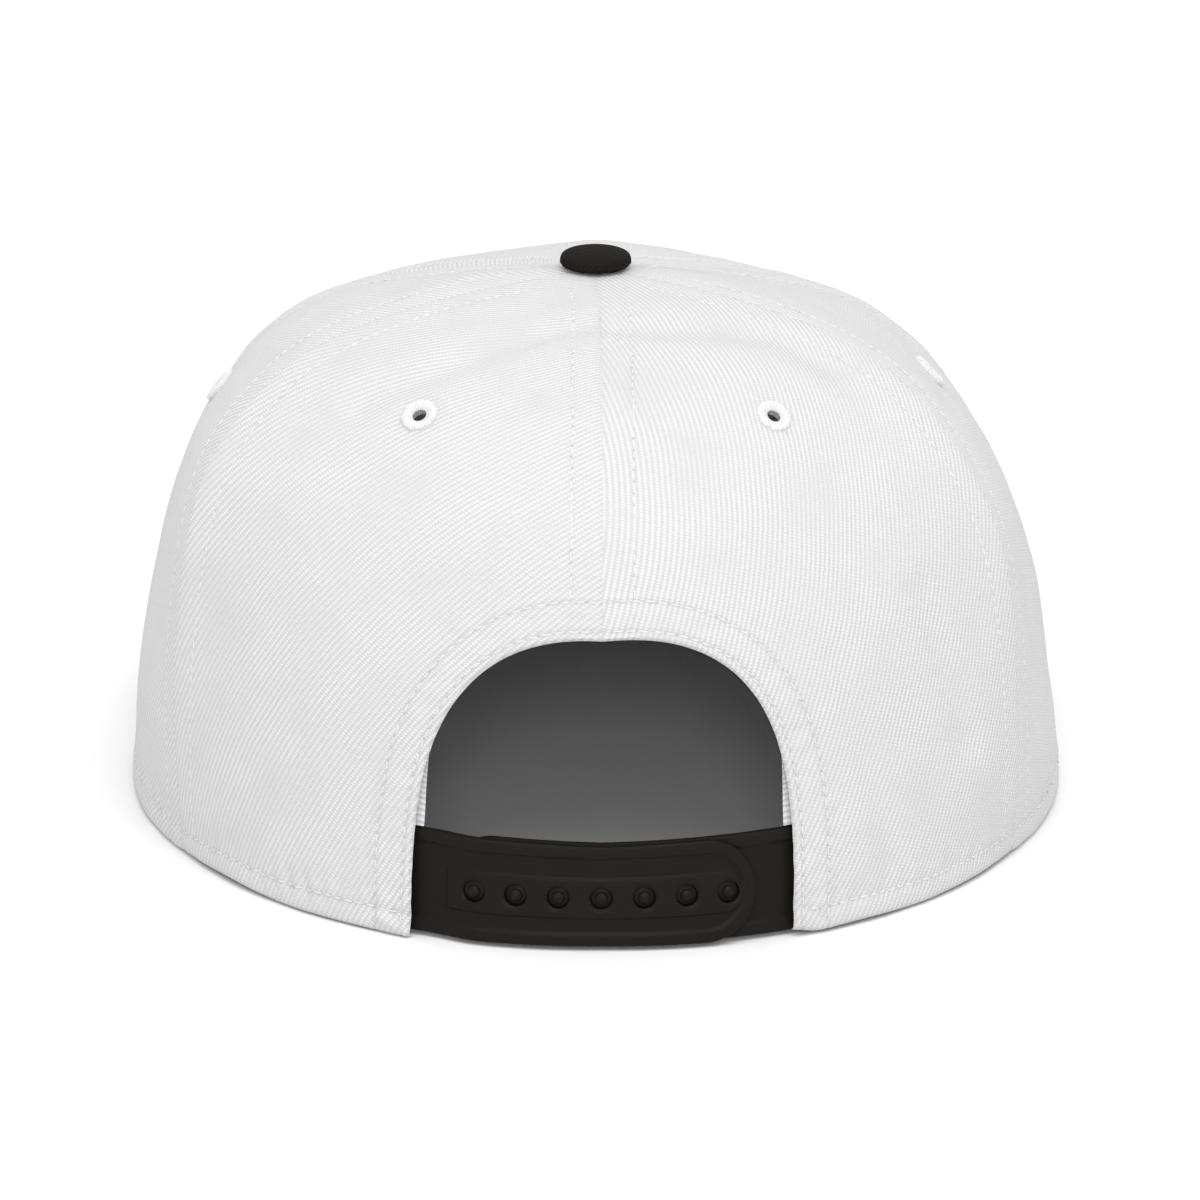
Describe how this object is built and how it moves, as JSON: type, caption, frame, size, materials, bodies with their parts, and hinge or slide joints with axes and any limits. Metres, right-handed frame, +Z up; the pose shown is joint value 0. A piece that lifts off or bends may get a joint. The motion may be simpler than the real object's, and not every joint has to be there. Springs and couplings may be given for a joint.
{
  "type": "snapback cap",
  "caption": "Structured cloth cap with a high rounded crown of sewn panels, flat peak, covered top button and a plastic snap strap across an arched back opening.",
  "frame": {"origin": "on the surface the cap stands on, under the middle of the whole cap with its peak", "axes": "+Z up, +Y towards the back opening and the snap strap, -Y towards the tip of the peak, +X towards the wearer's left"},
  "size_m": [0.1748, 0.2648, 0.1033],
  "materials": {
    "crown_cloth": "white ribbed acrylic and wool blend serge with topstitching",
    "eyelet_thread": "white satin-stitched thread",
    "black_cloth": "black serge",
    "band_cloth": "black twill sweatband",
    "binding_tape": "white ribbed cotton tape",
    "strap_plastic": "black moulded plastic, satin"
  },
  "bodies": {
    "root": {"panel_back_left": "crown_cloth", "panel_side_left": "crown_cloth", "panel_front_left": "crown_cloth", "panel_front_right": "crown_cloth", "panel_side_right": "crown_cloth", "panel_back_right": "crown_cloth", "eyelet_back_left": "eyelet_thread", "eyelet_side_left": "eyelet_thread", "eyelet_front_left": "eyelet_thread", "eyelet_front_right": "eyelet_thread", "eyelet_side_right": "eyelet_thread", "eyelet_back_right": "eyelet_thread", "button": "black_cloth", "peak": "black_cloth", "sweatband": "band_cloth", "arch_tape": "binding_tape", "strap_left": "strap_plastic", "strap_right": "strap_plastic"}
  },
  "joints": []
}
